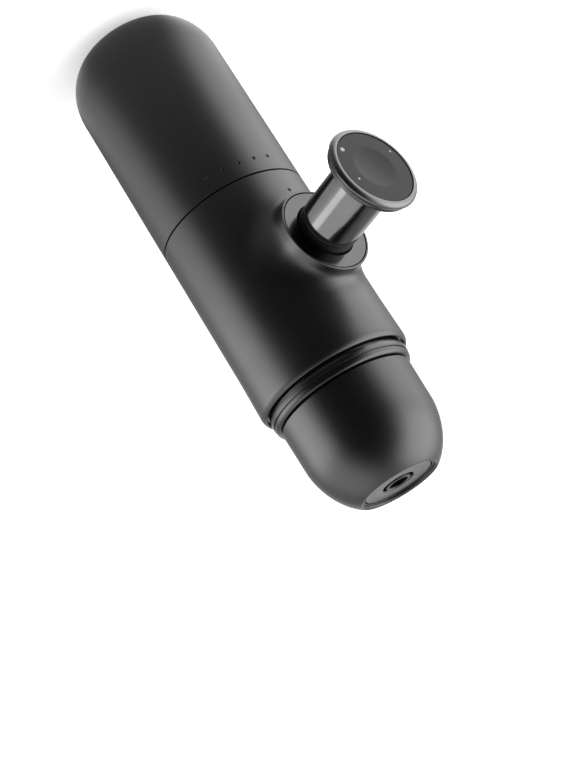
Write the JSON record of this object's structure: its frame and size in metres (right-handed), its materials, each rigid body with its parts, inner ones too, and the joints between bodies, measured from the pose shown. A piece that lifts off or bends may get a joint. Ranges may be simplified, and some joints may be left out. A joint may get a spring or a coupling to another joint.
{
  "type": "handheld manual espresso maker",
  "caption": "Slim hand-pumped espresso maker: twist-off water tank, side piston with a round thumb knob, filter basket and domed outlet head.",
  "frame": {"origin": "centre of the flat end of the water tank, on which the maker stands", "axes": "+Z along the body to the outlet; the piston lies along Y with its knob towards -Y"},
  "size_m": [0.0606, 0.1004, 0.2076],
  "materials": {
    "shell": "fine satin texture",
    "black_plastic": "smooth moulded, slightly glossy",
    "inner_plastic": "glass-filled, matt",
    "rubber": "smooth seal rubber",
    "silicone": "milky silicone",
    "steel": "stainless, brushed",
    "chrome": "polished",
    "dark_metal": "dark satin plating",
    "face_metal": "satin, with a shallow dish"
  },
  "bodies": {
    "main_body": {"main_housing": "shell", "pump_block": "inner_plastic", "pump_cylinder": "steel", "cylinder_gasket": "rubber", "inlet_filter": "steel", "inlet_valve": "silicone", "outlet_valve": "silicone", "air_valve": "silicone", "transfer_seal": "rubber", "chassis_screws": "steel", "brew_chamber": "black_plastic", "brew_gasket": "silicone", "shower_screen": "steel", "shower_screw": "steel", "piston_guide": "black_plastic", "guide_bezel": "dark_metal", "wiper_ring": "rubber"},
    "tank_seal": {"tank_gasket": "rubber"},
    "tank": {"water_tank": "shell"},
    "head_seal": {"head_gasket": "rubber"},
    "head": {"outlet_head": "shell", "funnel_seal": "rubber", "spout_funnel": "black_plastic", "face_plate": "dark_metal"},
    "basket": {"filter_basket": "steel", "basket_screen": "steel"},
    "spring_carrier": {"thrust_washer": "steel", "return_spring": "steel"},
    "piston": {"piston_skirt": "black_plastic", "piston_sleeve": "chrome", "piston_rod": "steel", "piston_head": "inner_plastic", "piston_seals": "rubber", "knob_base": "black_plastic", "knob_ring": "dark_metal", "knob_face": "face_metal", "knob_screw": "steel"}
  },
  "joints": [
    {"name": "tank_pull", "type": "slide", "parent": "main_body", "child": "tank_seal", "axis": [0, 0, -1], "range_m": [0, 0.095]},
    {"name": "tank_twist", "type": "hinge", "parent": "tank_seal", "child": "tank", "pos_m": [0, 0, 0.087], "axis": [0, 0, 1], "range_deg": [-50, 0]},
    {"name": "head_pull", "type": "slide", "parent": "main_body", "child": "head_seal", "axis": [0, 0, 1], "range_m": [0, 0.07]},
    {"name": "head_twist", "type": "hinge", "parent": "head_seal", "child": "head", "pos_m": [0, 0, 0.17], "axis": [0, 0, 1], "range_deg": [0, 50]},
    {"name": "basket_pull", "type": "slide", "parent": "main_body", "child": "basket", "axis": [0, 0, 1], "range_m": [0, 0.028]},
    {"name": "piston_stroke", "type": "slide", "parent": "main_body", "child": "spring_carrier", "axis": [0, 1, 0], "range_m": [0, 0.0294], "stiffness_N_per_m": 300, "springref_m": -0.02, "deforming": ["return_spring"]},
    {"name": "piston_lock", "type": "hinge", "parent": "spring_carrier", "child": "piston", "pos_m": [0, -0.04, 0.1198], "axis": [0, 1, 0], "range_deg": [0, 60]}
  ],
  "couplings": [
    {"joint": "basket_pull", "follows": "head_pull", "ratio": 0.4}
  ]
}
